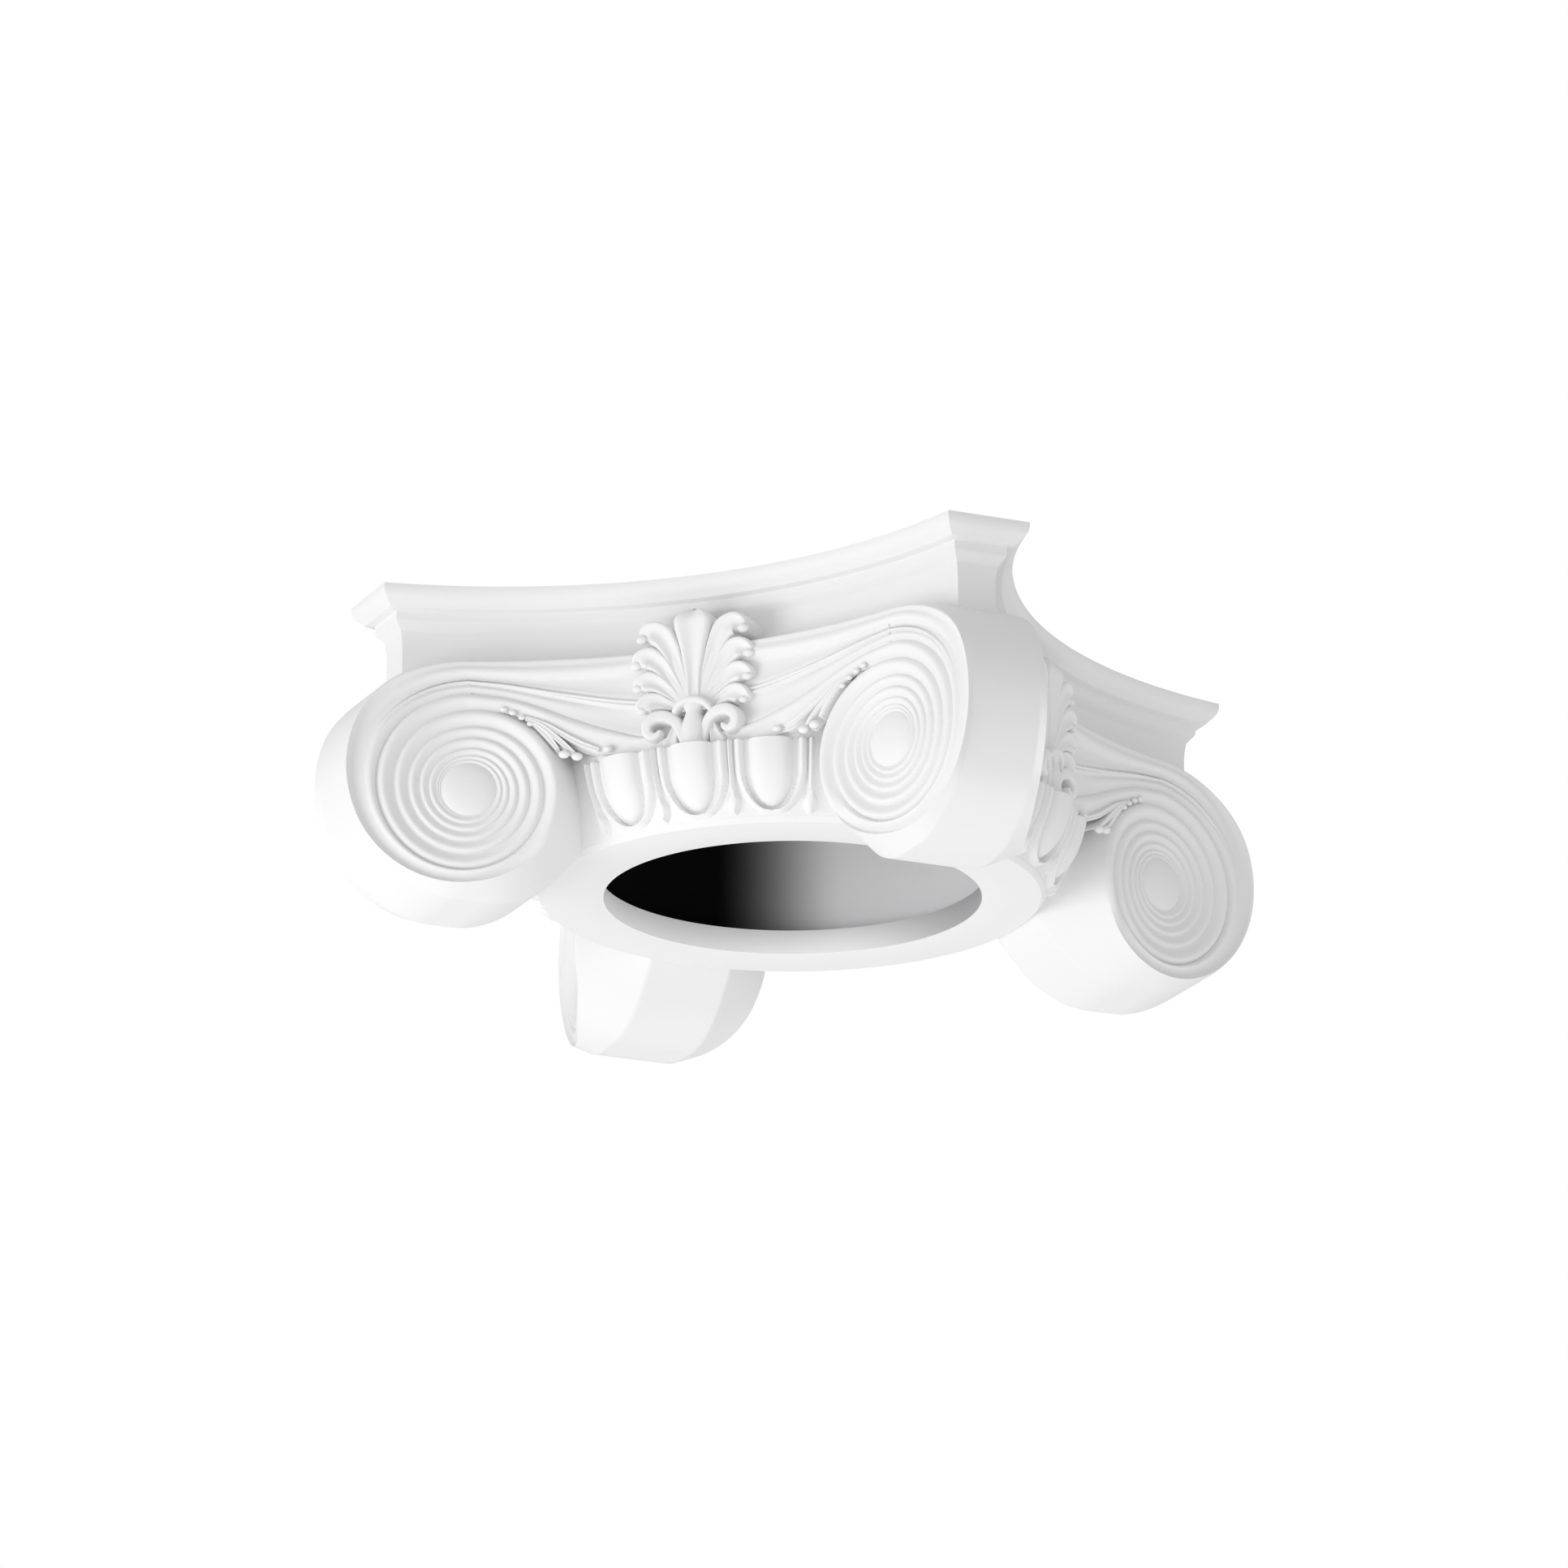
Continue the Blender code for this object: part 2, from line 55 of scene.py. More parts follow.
sideRise = 1.0 - capital["sideMiddle"]
sideRadius = (capital["chamferEnd"] ** 2 + sideRise ** 2) / (2 * sideRise)
sideCentre = capital["sideMiddle"] + sideRadius
faceRadius = sideRadius - capital["faceProud"]


# Small tools

def deselectAll():
    bpy.ops.object.select_all(action="DESELECT")


def smoothStep(t):
    t = np.clip(t, 0.0, 1.0)
    return t * t * (3 - 2 * t)


# soft curve through knots, for arrays
def curveThrough(knots, x):
    kx = np.array([k[0] for k in knots], float)
    ky = np.array([k[1] for k in knots], float)
    step = np.diff(kx)
    slope = np.diff(ky) / step
    between = (slope[1:] * step[:-1] + slope[:-1] * step[1:]) / (step[1:] + step[:-1])
    tangent = np.concatenate([[slope[0]], between, [slope[-1]]])
    x = np.clip(np.asarray(x, float), kx[0], kx[-1])
    i = np.clip(np.searchsorted(kx, x, side="right") - 1, 0, len(step) - 1)
    t = (x - kx[i]) / step[i]
    a = ky[i] * (1 + 2 * t) * (1 - t) ** 2 + ky[i + 1] * t * t * (3 - 2 * t)
    return a + step[i] * (tangent[i] * t * (1 - t) ** 2 - tangent[i + 1] * t * t * (1 - t))


# on the hollow front side
def facePoint(s, d, n):
    s, d, n = np.broadcast_arrays(np.asarray(s, float), d, n)
    turn = s / faceRadius
    r = faceRadius - n
    return np.stack([r * np.sin(turn), r * np.cos(turn) - sideCentre, -d], -1)


# round the axis, where angle 0 is the middle of the front side
def roundPoint(radius, angle, d):
    radius, angle, d = np.broadcast_arrays(np.asarray(radius, float), angle, d)
    return np.stack([radius * np.sin(angle), -radius * np.cos(angle), -d], -1)


# out along the front right diagonal and across it
def cornerPoint(out, across, d):
    out, across, d = np.broadcast_arrays(np.asarray(out, float), across, d)
    return np.stack([(out + across) / math.sqrt(2), (across - out) / math.sqrt(2), -d], -1)


# points and faces gathered for one piece
class Shape:
    def __init__(self):
        self.points, self.faces, self.count = [], [], 0

    def add(self, points, faces):
        self.points.append(np.asarray(points, float).reshape(-1, 3))
        self.faces += [tuple(int(i) + self.count for i in f) for f in faces]
        self.count += len(self.points[-1])
        return self

    # rows x columns of points, joined into quads
    def grid(self, points, closeRows=False, closeColumns=False):
        rows, columns = points.shape[:2]
        index = np.arange(rows * columns).reshape(rows, columns)
        a = index if closeRows else index[:-1]
        b = np.roll(index, -1, 0) if closeRows else index[1:]
        if not closeColumns:
            quads = np.stack([a[:, :-1], a[:, 1:], b[:, 1:], b[:, :-1]], -1)
        else:
            quads = np.stack([a, np.roll(a, -1, 1), np.roll(b, -1, 1), b], -1)
        return self.add(points, quads.reshape(-1, 4).tolist())

    def cap(self, loop):
        return self.add(loop, [tuple(range(len(loop)))])

    def mirrored(self):
        twin = Shape()
        twin.points = [p * np.array([-1.0, 1.0, 1.0]) for p in self.points]
        twin.faces = [tuple(reversed(f)) for f in self.faces]
        twin.count = self.count
        return twin

    def join(self, other):
        self.faces += [tuple(i + self.count for i in f) for f in other.faces]
        self.points += other.points
        self.count += other.count
        return self


# the mesh in frame metres, turned onto its side of the capital, merged and shaded
def makePiece(name, shape, material, sharpAngle, quarter=0):
    points = np.concatenate(shape.points) * capital["halfWidth"]
    c, s = math.cos(math.pi / 2 * quarter), math.sin(math.pi / 2 * quarter)
    x, y = points[:, 0] * c - points[:, 1] * s, points[:, 0] * s + points[:, 1] * c
    points = np.stack([x, y, points[:, 2] + topLevel], -1)
    mesh = bpy.data.meshes.new(name)
    mesh.from_pydata(points.tolist(), [], shape.faces)
    piece = bpy.data.objects.new(name, mesh)
    bpy.context.scene.collection.objects.link(piece)
    deselectAll()
    piece.select_set(True)
    bpy.context.view_layer.objects.active = piece
    bpy.ops.object.mode_set(mode="EDIT")
    bpy.ops.mesh.select_all(action="SELECT")
    bpy.ops.mesh.remove_doubles(threshold=0.00002)
    bpy.ops.mesh.dissolve_degenerate(threshold=0.000005)
    bpy.ops.mesh.normals_make_consistent(inside=False)
    bpy.ops.object.mode_set(mode="OBJECT")
    bpy.ops.object.shade_smooth_by_angle(angle=math.radians(sharpAngle))
    mesh.materials.append(material)
    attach(piece, "root")
    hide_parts("capital")


def onEachSide(name, shape, material, sharpAngle):
    for k in range(4):
        makePiece(name + str(k + 1), shape, material, sharpAngle, k)


# Materials

# a shader value that takes + - * /
class Socket:
    def __init__(self, tree, link):
        self.tree, self.link = tree, link

    def math(self, operation, a, b):
        node = self.tree.nodes.new("ShaderNodeMath")
        node.operation = operation
        for socket, value in zip(node.inputs, (a, b)):
            if isinstance(value, Socket):
                self.tree.links.new(value.link, socket)
            else:
                socket.default_value = value
        return Socket(self.tree, node.outputs[0])

    def __add__(self, other):
        return self.math("ADD", self, other)

    def __radd__(self, other):
        return self.math("ADD", other, self)

    def __sub__(self, other):
        return self.math("SUBTRACT", self, other)

    def __rsub__(self, other):
        return self.math("SUBTRACT", other, self)

    def __mul__(self, other):
        return self.math("MULTIPLY", self, other)

    def __rmul__(self, other):
        return self.math("MULTIPLY", other, self)


# one material and the nodes behind it
class Finish:
    def __init__(self, name):
        self.material = bpy.data.materials.new(name)
        self.material.use_nodes = True
        self.tree = self.material.node_tree
        self.shader = self.tree.nodes["Principled BSDF"]

    def node(self, kind, settings=None, output=0, **sockets):
        made = self.tree.nodes.new(kind)
        for key, value in (settings or {}).items():
            setattr(made, key, value)
        for key, value in sockets.items():
            socket = made.inputs[key.replace("_", " ")]
            if isinstance(value, Socket):
                self.tree.links.new(value.link, socket)
            else:
                socket.default_value = value
        return Socket(self.tree, made.outputs[output])

    # one colour turning into another
    def fade(self, first, second, share):
        mixed = self.node("ShaderNodeMix", {"data_type": "RGBA"}, output=2, Factor=share)
        inputs = mixed.link.node.inputs
        inputs[6].default_value, inputs[7].default_value = first, second
        return mixed

    # 0 to 1 between two distances across the shaft
    def acrossShaft(self, place, start, end, wander=0.0):
        x = self.node("ShaderNodeSeparateXYZ", Vector=place)
        y = self.node("ShaderNodeSeparateXYZ", output=1, Vector=place)
        distance = x * shaftShadeAndPores["towards"][0] + y * shaftShadeAndPores["towards"][1] + wander
        soft = {"interpolation_type": "SMOOTHSTEP"}
        return self.node("ShaderNodeMapRange", soft, Value=distance, From_Min=start, From_Max=end)

    def feed(self, name, value):
        if isinstance(value, Socket):
            self.tree.links.new(value.link, self.shader.inputs[name])
        else:
            self.shader.inputs[name].default_value = value


primer = {
    "colour": (0.86, 0.86, 0.86, 1),
    "dusty": (0.80, 0.80, 0.80, 1),
    "rough": 0.55,
    "cloudScale": 9.0,
    "peelScale": 900.0,
    "grainScale": 160.0,
    "bump": 0.05,
}


# sprayed primer: nearly flat white, a little orange peel, dusty patches at random
def whitePrimer():
    finish = Finish("whitePrimer")
    place = finish.node("ShaderNodeTexCoord", output=3)
    cloud = finish.node("ShaderNodeTexNoise", Vector=place, Scale=primer["cloudScale"], Detail=3.0)
    peel = finish.node("ShaderNodeTexNoise", Vector=place, Scale=primer["peelScale"], Detail=2.0)
    grain = finish.node("ShaderNodeTexNoise", Vector=place, Scale=primer["grainScale"], Detail=4.0)
    finish.feed("Base Color", finish.fade(primer["colour"], primer["dusty"], cloud * 0.5))
    finish.feed("Roughness", primer["rough"] + (grain - 0.5) * 0.12)
    height = peel * 0.6 + grain
    bump = finish.node("ShaderNodeBump", Height=height, Strength=primer["bump"], Distance=0.0006)
    finish.feed("Normal", bump)
    finish.feed("Specular IOR Level", 0.3)
    return finish.material


# from and to are metres across the shaft
# painted shade inside the shaft: near-black on one side turning light grey on the other
shaftShadeAndPores = {
    "dark": (0.002, 0.002, 0.002, 1),
    "light": (0.76, 0.76, 0.77, 1),
    "from": -0.046,
    "to": 0.034,
    "towards": (0.937, 0.350),
    "rough": 0.9,
    "poreScale": 420.0,
    "bump": 0.15,
}
# painted shade on the mouth of the shaft: white on one side, grey on the other
lip = {
    "left": (0.96, 0.96, 0.96, 1),
    "right": (0.40, 0.40, 0.41, 1),
    "from": 0.02,
    "to": 0.12,
    "rough": 0.6,
    "grainScale": 260.0,
    "bump": 0.06,
}


# the inside of the shaft with painted shade: near-black on one side, greyer on the other, with fine pores in
# its bump and roughness
def paintedShadeShaft():
    finish = Finish("paintedShadeShaft")
    place = finish.node("ShaderNodeTexCoord", output=3)
    pores = finish.node("ShaderNodeTexNoise", Vector=place, Scale=shaftShadeAndPores["poreScale"], Detail=3.0)
    share = finish.acrossShaft(place, shaftShadeAndPores["from"], shaftShadeAndPores["to"])
    slow = share * (share * 0.6 + 0.4)  # stays dark for longer
    finish.feed("Base Color", finish.fade(shaftShadeAndPores["dark"], shaftShadeAndPores["light"], slow))
    finish.feed("Roughness", shaftShadeAndPores["rough"] + (pores - 0.5) * 0.2)
    finish.feed("Specular IOR Level", 0.05)
    bump = finish.node("ShaderNodeBump", Height=pores, Strength=shaftShadeAndPores["bump"], Distance=0.0008)
    finish.feed("Normal", bump)
    return finish.material


# white primer on the mouth of the shaft, with painted shade: light on one side turning grey on the other
def paintedShadeLip():
    finish = Finish("paintedShadeLip")
    place = finish.node("ShaderNodeTexCoord", output=3)
    grain = finish.node("ShaderNodeTexNoise", Vector=place, Scale=lip["grainScale"], Detail=3.0)
    share = finish.acrossShaft(place, lip["from"], lip["to"], (grain - 0.5) * 0.004)
    finish.feed("Base Color", finish.fade(lip["left"], lip["right"], share))
    finish.feed("Roughness", lip["rough"] + (grain - 0.5) * 0.1)
    bump = finish.node("ShaderNodeBump", Height=grain, Strength=lip["bump"], Distance=0.0006)
    finish.feed("Normal", bump)
    return finish.material


white, inside, shadedLip = whitePrimer(), paintedShadeShaft(), paintedShadeLip()
print("materials made")


# Abacus

abacus = {
    "sideSteps": 72,
    "cutSteps": 10,
    "hollowRadius": 0.600,
    "foot": 0.40,
}


# (inset, depth) of the moulding, from the top edge down to the neck
def abacusProfile():
    cyma = [(0, 0), (0, 0.012), (0.002, 0.022), (0.006, 0.031), (0.013, 0.040), (0.021, 0.048),
            (0.028, 0.0565)]
    d = np.linspace(0, 0.0565, 30)
    lines = list(zip(curveThrough([(k[1], k[0]) for k in cyma], d), d))
    lines += [(0.0295, 0.0578), (0.031, 0.0586), (0.051, 0.0600), (0.0535, 0.0612), (0.0545, 0.0635)]
    lines += [(0.0545, 0.0840), (0.0550, 0.0860)]
    cavetto = [(0.0860, 0.0550), (0.0915, 0.058), (0.0985, 0.064), (0.107, 0.0715), (0.113, 0.076),
               (0.120, 0.0775), (0.235, 0.082), (0.262, 0.083)]
    d = np.concatenate([np.linspace(0.087, 0.120, 16), np.linspace(0.13, 0.262, 6)])
    lines += list(zip(curveThrough(cavetto, d), d))
    lines += [(0.083, 0.30), (0.083, abacus["foot"])]  # runs on down behind the channels
    return lines


def abacusLoop(inset, depth):
    radius = sideRadius + inset
    cut = (1 + capital["chamferEnd"]) - inset * math.sqrt(2)
    offset = sideCentre - cut
    x = (-offset + math.sqrt(2 * radius ** 2 - offset * offset)) / 2
    end = math.asin(x / radius)
    turn = np.linspace(-end, end, abacus["sideSteps"] + 1)
    level = np.full_like(turn, -depth)
    side = np.stack([radius * np.sin(turn), radius * np.cos(turn) - sideCentre, level], -1)
    share = np.linspace(0, 1, abacus["cutSteps"] + 1)[1:-1, None]
    quarterTurn = np.array([[0, 1, 0], [-1, 0, 0], [0, 0, 1]])
    loop = []
    for k in range(4):
        c, s = math.cos(math.pi / 2 * k), math.sin(math.pi / 2 * k)
        spin = np.array([[c, s, 0], [-s, c, 0], [0, 0, 1]])
        here, following = side @ spin, side @ (quarterTurn @ spin)
        loop += [here, here[-1] * (1 - share) + following[0] * share]
    return np.concatenate(loop)


def makeAbacus():
    shape = Shape()
    loops = [abacusLoop(inset, depth) for inset, depth in abacusProfile()]
    top = loops[0].copy()
    # the top runs in from the moulding to the mouth of the hollow, and the back of the neck closes the piece
    angle = np.arctan2(top[:, 0], -top[:, 1])
    mouth = roundPoint(abacus["hollowRadius"], angle, 0.0)
    rows = [top * (1 - t) + mouth * t for t in (1, 0.8, 0.5, 0.2, 0.02)]
    foot = roundPoint(abacus["hollowRadius"], angle, abacus["foot"])
    shape.grid(np.stack([foot] + rows + loops + [foot]), closeColumns=True)
    makePiece("abacus", shape, white, sharpAngle=38)


makeAbacus()
print("abacus made")


# Volutes: radii from the eye, where angle 0 is straight up and a quarter turn is outward

volute = {
    "stepsPerTurn": 132,
    "turns": 2.597,
    "fillet": 0.0135,
    "border": 0.74,
    "rim": [(0, 0.372), (54, 0.3705), (75, 0.352), (90, 0.338), (120, 0.312), (144, 0.291),
            (180, 0.269), (225, 0.264), (270, 0.2535), (315, 0.2445), (360, 0.2295)],
    "firstLine": [(0, 0.3155), (90, 0.295), (180, 0.2575), (270, 0.2445), (360, 0.2295)],
    "secondLine": [(0, 0.278), (90, 0.2555), (180, 0.2295), (270, 0.206), (360, 0.182)],
    "shrink": 0.655,
    "crest": 0.0080,
    "groove": -0.0080,
    "eyeRadius": 0.0765,
    "eyeProud": 0.017,
    "hollowed": (8, 60),  # degrees: where a change starts, and over how many it comes in
    "plain": (195, 60),
    "dwindling": (30, 200),
    "edge": [(0, 0.372), (30, 0.386), (43, 0.382), (54, 0.378), (65, 0.370), (76, 0.358), (90, 0.338),
             (108, 0.321), (125, 0.316), (143, 0.302), (165, 0.300),
             (186, 0.302), (205, 0.318), (225, 0.336), (242, 0.352), (250, 0.366), (270, 0.395),
             (300, 0.400), (330, 0.385), (360, 0.372)],
    "footDepth": 0.890,
    "eyeOut": 1.0476,
    "topInset": 0.06,
    "halfThick": 0.101,
    "flare": 0.065,
    "widest": 0.125,
    "outermost": 1.390,
}


def rimRadius(turn):
    return curveThrough(volute["rim"], np.degrees(turn))


def lineRadius(knots, turn):
    whole = np.floor(turn / (2 * math.pi) + 1e-9)
    return curveThrough(knots, np.degrees(turn - whole * 2 * math.pi)) * volute["shrink"] ** whole


def firstLine(turn):
    inner = volute["firstLine"][-1][1] * volute["shrink"] ** (turn / (2 * math.pi) - 1)
    return np.where(turn < 2 * math.pi, curveThrough(volute["firstLine"], np.degrees(turn)), inner)


def secondLine(turn):
    return lineRadius(volute["secondLine"], turn)


# rounded ridge, steeper on its outer side
def bead(q):
    return np.clip(0.5 - 0.5 * np.cos(2 * math.pi * np.clip(q, 0, 1) ** 0.66), 0, 1) ** 0.7


def ridge(q, centre, half):
    return np.cos(0.5 * math.pi * np.clip((q - centre) / half, -1, 1)) ** 1.4


# 0 to 1 with points crowded at both ends
def spaced(count):
    return 0.5 - 0.5 * np.cos(np.linspace(0, math.pi, count))


def comingIn(turn, degrees):
    start, over = (math.radians(v) for v in degrees)
    return smoothStep((turn - start) / over)


# plain band between two grooves
def torus(q, width):
    return volute["groove"] + np.minimum(0.32 * width, volute["crest"] - volute["groove"]) * bead(q)


# outer band of the first turn: a fine edge, a drop, then a rise to a crest beside the second line
def scoop(q):
    knots = [(0, 0.003), (0.03, 0.001), (0.08, -0.006), (0.17, -0.0115), (0.34, -0.0105),
             (0.58, -0.002), (0.74, 0.0065),
             (0.86, 0.005), (0.95, -0.003), (1, volute["groove"])]
    return curveThrough(knots, q)


# band over the first line: a flat fascia down to border, then a hollow, for arrays
def outerBand(q, border):
    fascia = curveThrough([(0, -0.006), (0.06, 0.001), (0.25, 0.005), (0.45, 0.005), (0.52, 0.0075),
                           (0.9, 0.009), (1, 0.006)], q / border)
    rest = (q - border) / (1 - border)
    deep = 0.7 + 1.2 * (volute["border"] - border)
    hollow = curveThrough([(0, 0), (0.08, -0.008), (0.35, -0.0135), (0.7, -0.0125), (0.93, -0.010),
                           (1, -0.014)], rest)
    return np.where(q < border, fascia, 0.006 + hollow * (deep + (1 - deep) * smoothStep((rest - 0.9) / 0.1)))


# one fine ridge beside the volute that splits in two towards the middle of a side
def filletBand(q, middle):
    one = 0.0135 * ridge(q, 0.45, 0.42)
    two = 0.0125 * ridge(q, 0.26, 0.24) + 0.0125 * ridge(q, 0.70, 0.22)
    return volute["groove"] + one * (1 - middle) + two * middle + 0.004 * (1 - q) * middle


def discPoint(turn, radius, n):
    s = capital["eyeAlong"] + radius * np.sin(turn)
    return facePoint(s, capital["eyeDepth"] - radius * np.cos(turn), n)


# one carved face; returns its rim and the seam where the channel leaves
def makeDisc(shape):
    perTurn = volute["stepsPerTurn"]
    groove = volute["groove"]
    full = np.linspace(0, 2 * math.pi, perTurn + 1)
    rim, first, second = rimRadius(full), firstLine(full), secondLine(full - 1e-6)
    second[0], second[-1] = volute["secondLine"][0][1], volute["secondLine"][-1][1]
    hollowed, plain = comingIn(full, volute["hollowed"]), comingIn(full, volute["plain"])

    def mixed(radius, early):
        q = np.clip((rim - radius) / (rim - second), 0, 1)
        late = scoop(q) * (1 - plain) + torus(q, rim - second) * plain
        return early * (1 - hollowed) + late * hollowed

    q = spaced(26)[:, None]
    radii = rim + (first - rim) * q
    band = discPoint(full, radii, mixed(radii, outerBand(q, volute["border"])))
    shape.grid(band)
    steps = int(round(volute["turns"] * perTurn))
    turn = np.linspace(0, steps / perTurn * 2 * math.pi, steps + 1)
    outer, between, inner = firstLine(turn), secondLine(turn), firstLine(turn + 2 * math.pi)
    dwindling = 1 - comingIn(turn, volute["dwindling"])
    fillet = outer - volute["fillet"] * dwindling - 0.0006
    radii, heights = [], []
    q = spaced(13)[:, None]
    radii.append(outer + (fillet - outer) * q)
    heights.append(filletBand(q, 0) + 0 * turn)
    q = spaced(16)[1:, None]
    radii.append(fillet + (between - fillet) * q)
    heights.append(torus(q, fillet - between))
    radii, heights = np.concatenate(radii), np.concatenate(heights)
    firstTurn = mixed(radii[:, :perTurn + 1], heights[:, :perTurn + 1])
    later = torus((outer - radii) / (outer - between), outer - between)[:, perTurn + 1:]
    heights = np.concatenate([firstTurn, later], axis=1)
    q = spaced(20)[1:, None]
    radii = np.concatenate([radii, between + (inner - between) * q])
    heights = np.concatenate([heights, torus(q, between - inner)])
    coil = discPoint(turn, radii, heights)
    shape.grid(coil)
    # within the last turn the bands run on and close up against the eye
    lastTurn, lastRadius = turn[steps - perTurn:], inner[steps - perTurn:]
    eye = volute["eyeRadius"]
    room = np.maximum(lastRadius - eye, 0.0)
    share = (radii[:, steps] - radii[-1, steps]) / (radii[0, steps] - radii[-1, steps])
    profile = heights[:, steps] - groove
    closing = profile[:, None] * (room / room[0]) ** 0.7
    shape.grid(discPoint(lastTurn, eye + share[:, None] * room, groove + closing))
    dome = []
    for share in np.linspace(1.0, 0.0, 17):
        rise = volute["eyeProud"] * (1 - share ** 2.4) ** 0.75
        dome.append(discPoint(lastTurn, eye * share, groove + rise))
    shape.grid(np.stack(dome))
    seam = np.concatenate([band[:, 0], coil[1:, 0]])
    return band[0], seam


def makeBlock():
    shape = Shape()
    rimLoop, seam = makeDisc(shape)
    perTurn = volute["stepsPerTurn"]
    full = np.linspace(0, 2 * math.pi, perTurn + 1)
    edge = curveThrough(volute["edge"], np.degrees(full))
    out = volute["eyeOut"] + edge * np.sin(full)
    depth = capital["eyeDepth"] - edge * np.cos(full)
    depth = np.minimum(depth, volute["footDepth"])
    half = np.minimum(volute["widest"], volute["halfThick"] + volute["flare"] * (volute["outermost"] - out))
    loop = np.concatenate([rimLoop[:-1], seam[::-1][:-1]])
    extra = len(loop) - perTurn
    share = np.linspace(0, 1, extra + 1)[:-1]
    topOut = (volute["eyeOut"] - volute["topInset"]) + volute["topInset"] * share
    topDepth = (capital["eyeDepth"] - edge[-1]) + 0.004 * (1 - share)
    out = np.concatenate([out[:-1], topOut])
    depth = np.concatenate([depth[:-1], topDepth])
    half = np.concatenate([half[:-1], np.full(extra, half[-1])])
    near = cornerPoint(out, -half, depth)
    twin = np.array([[0, -1, 0], [-1, 0, 0], [0, 0, 1.0]])
    far = near @ twin
    rows = [loop]
    for t in (0.03, 0.08, 0.2, 0.4, 0.6, 0.8, 0.92, 0.97, 1.0):
        rows.append(loop * (1 - t) + near * t)
    across = [near * (1 - t) + far * t for t in (0.03, 0.1, 0.3, 0.5, 0.7, 0.9, 0.97)]
    rows += across + [row @ twin for row in rows[::-1]]
    shape.grid(np.stack(rows), closeColumns=True)
    front = Shape()
    makeDisc(front)
    for points in front.points:
        points[:] = points @ twin
    front.faces = [tuple(reversed(f)) for f in front.faces]
    shape.join(front)
    return shape


onEachSide("cornerBlock", makeBlock(), white, sharpAngle=42)
print("volutes made")


# Channel between the volutes

channel = {
    "shoulder": (0.50, 0.750),
    "backRadius": 0.62,
    "steps": 116,
    "border": 0.33,
    "middleReach": 0.60,
    "top": [(0, 0.2145), (0.35, 0.2155), (0.6346, 0.220)],
    "first": [(0, 0.364), (0.20, 0.345), (0.40, 0.308), (0.55, 0.283), (0.6346, 0.2765)],
    "fillet": [(0, 0.392), (0.20, 0.372), (0.40, 0.331), (0.55, 0.300), (0.6346, 0.290)],
    "second": [(0, 0.470), (0.11, 0.462), (0.16, 0.456), (0.24, 0.432), (0.36, 0.388), (0.44, 0.356),
               (0.52, 0.330), (0.6346, 0.314)],
    "foot": [(0, 0.514), (0.16, 0.512), (0.24, 0.498), (0.30, 0.488), (0.35, 0.462), (0.40, 0.432),
             (0.45, 0.402), (0.52, 0.374), (0.6346, 0.3625)],
}


def makeChannel():
    reach = capital["eyeAlong"]
    s = np.linspace(-reach, reach, 2 * channel["steps"] + 1)
    away = np.abs(s)
    lines = ("top", "first", "fillet", "second", "foot")
    top, first, fillet, second, foot = (curveThrough(channel[line], away) for line in lines)
    middle = 1 - smoothStep(away / channel["middleReach"])
    q = spaced(26)[:, None]
    toMiddle = smoothStep((reach - away) / reach * 1.15)
    border = volute["border"] + (channel["border"] - volute["border"]) * toMiddle
    depths = [top + (first - top) * q]
    heights = [outerBand(q, border)]
    q = spaced(13)[:, None]
    depths.append((first + (fillet - first) * q)[1:])
    heights.append(filletBand(q, middle)[1:])
    q = spaced(16)[1:, None]
    depths.append(fillet + (second - fillet) * q)
    hollow = curveThrough([(0, volute["groove"]), (0.06, -0.010), (0.3, -0.0155), (0.6, -0.014),
                           (0.85, -0.006), (0.95, -0.004), (1, volute["groove"])], q)
    heights.append(torus(q, second - fillet) * (1 - middle) + hollow * middle)
    q = spaced(20)[1:, None]
    depths.append(second + (foot - second) * q)
    flare = curveThrough([(0, volute["groove"]), (0.05, 0.001), (0.18, 0.006), (0.5, -0.003),
                          (1, -0.016)], q)
    heights.append(torus(q, foot - second) * (1 - middle) + flare * middle)
    d, n = np.concatenate(depths), np.concatenate(heights)
    front = facePoint(s, d, n)
    shape = Shape()
    spot = facePoint(s, 0.0, 0.0)
    inward = channel["backRadius"] / np.linalg.norm(spot[:, :2], axis=1)

    def hidden(depth):
        return np.stack([spot[:, 0] * inward, spot[:, 1] * inward, -np.broadcast_to(depth, s.shape)], -1)

    under = [front[-1] * (1 - t) + hidden(foot + 0.01) * t for t in (0.03, 0.2, 0.5, 0.8, 1.0)]
    over = [front[0] * (1 - t) + hidden(top + 0.004) * t for t in (1.0, 0.5, 0.1, 0.02)]
    grid = np.stack(over + list(front) + under)
    shape.grid(grid, closeRows=True)
    shape.cap(grid[:, 0])
    shape.cap(grid[::-1, -1])
    # a shoulder fills the corner between the channel's end, the neck and the volute
    s = np.linspace(*channel["shoulder"], 14)
    past = np.maximum(s - reach, 0)
    level = capital["eyeDepth"] - np.sqrt(volute["rim"][0][1] ** 2 - past ** 2) + 0.0015
    corners = ((level, -0.008), (level, -0.14), (0.42, -0.14), (0.42, -0.02))
    rows = np.stack([facePoint(s, d, n) for d, n in corners])
    shoulder = Shape().grid(rows, closeRows=True)
    shoulder.cap(rows[:, 0])
    shoulder.cap(rows[::-1, -1])
    return shape.join(shoulder).join(shoulder.mirrored())


onEachSide("channel", makeChannel(), white, sharpAngle=42)
print("channels made")


# Egg band, ring and shaft

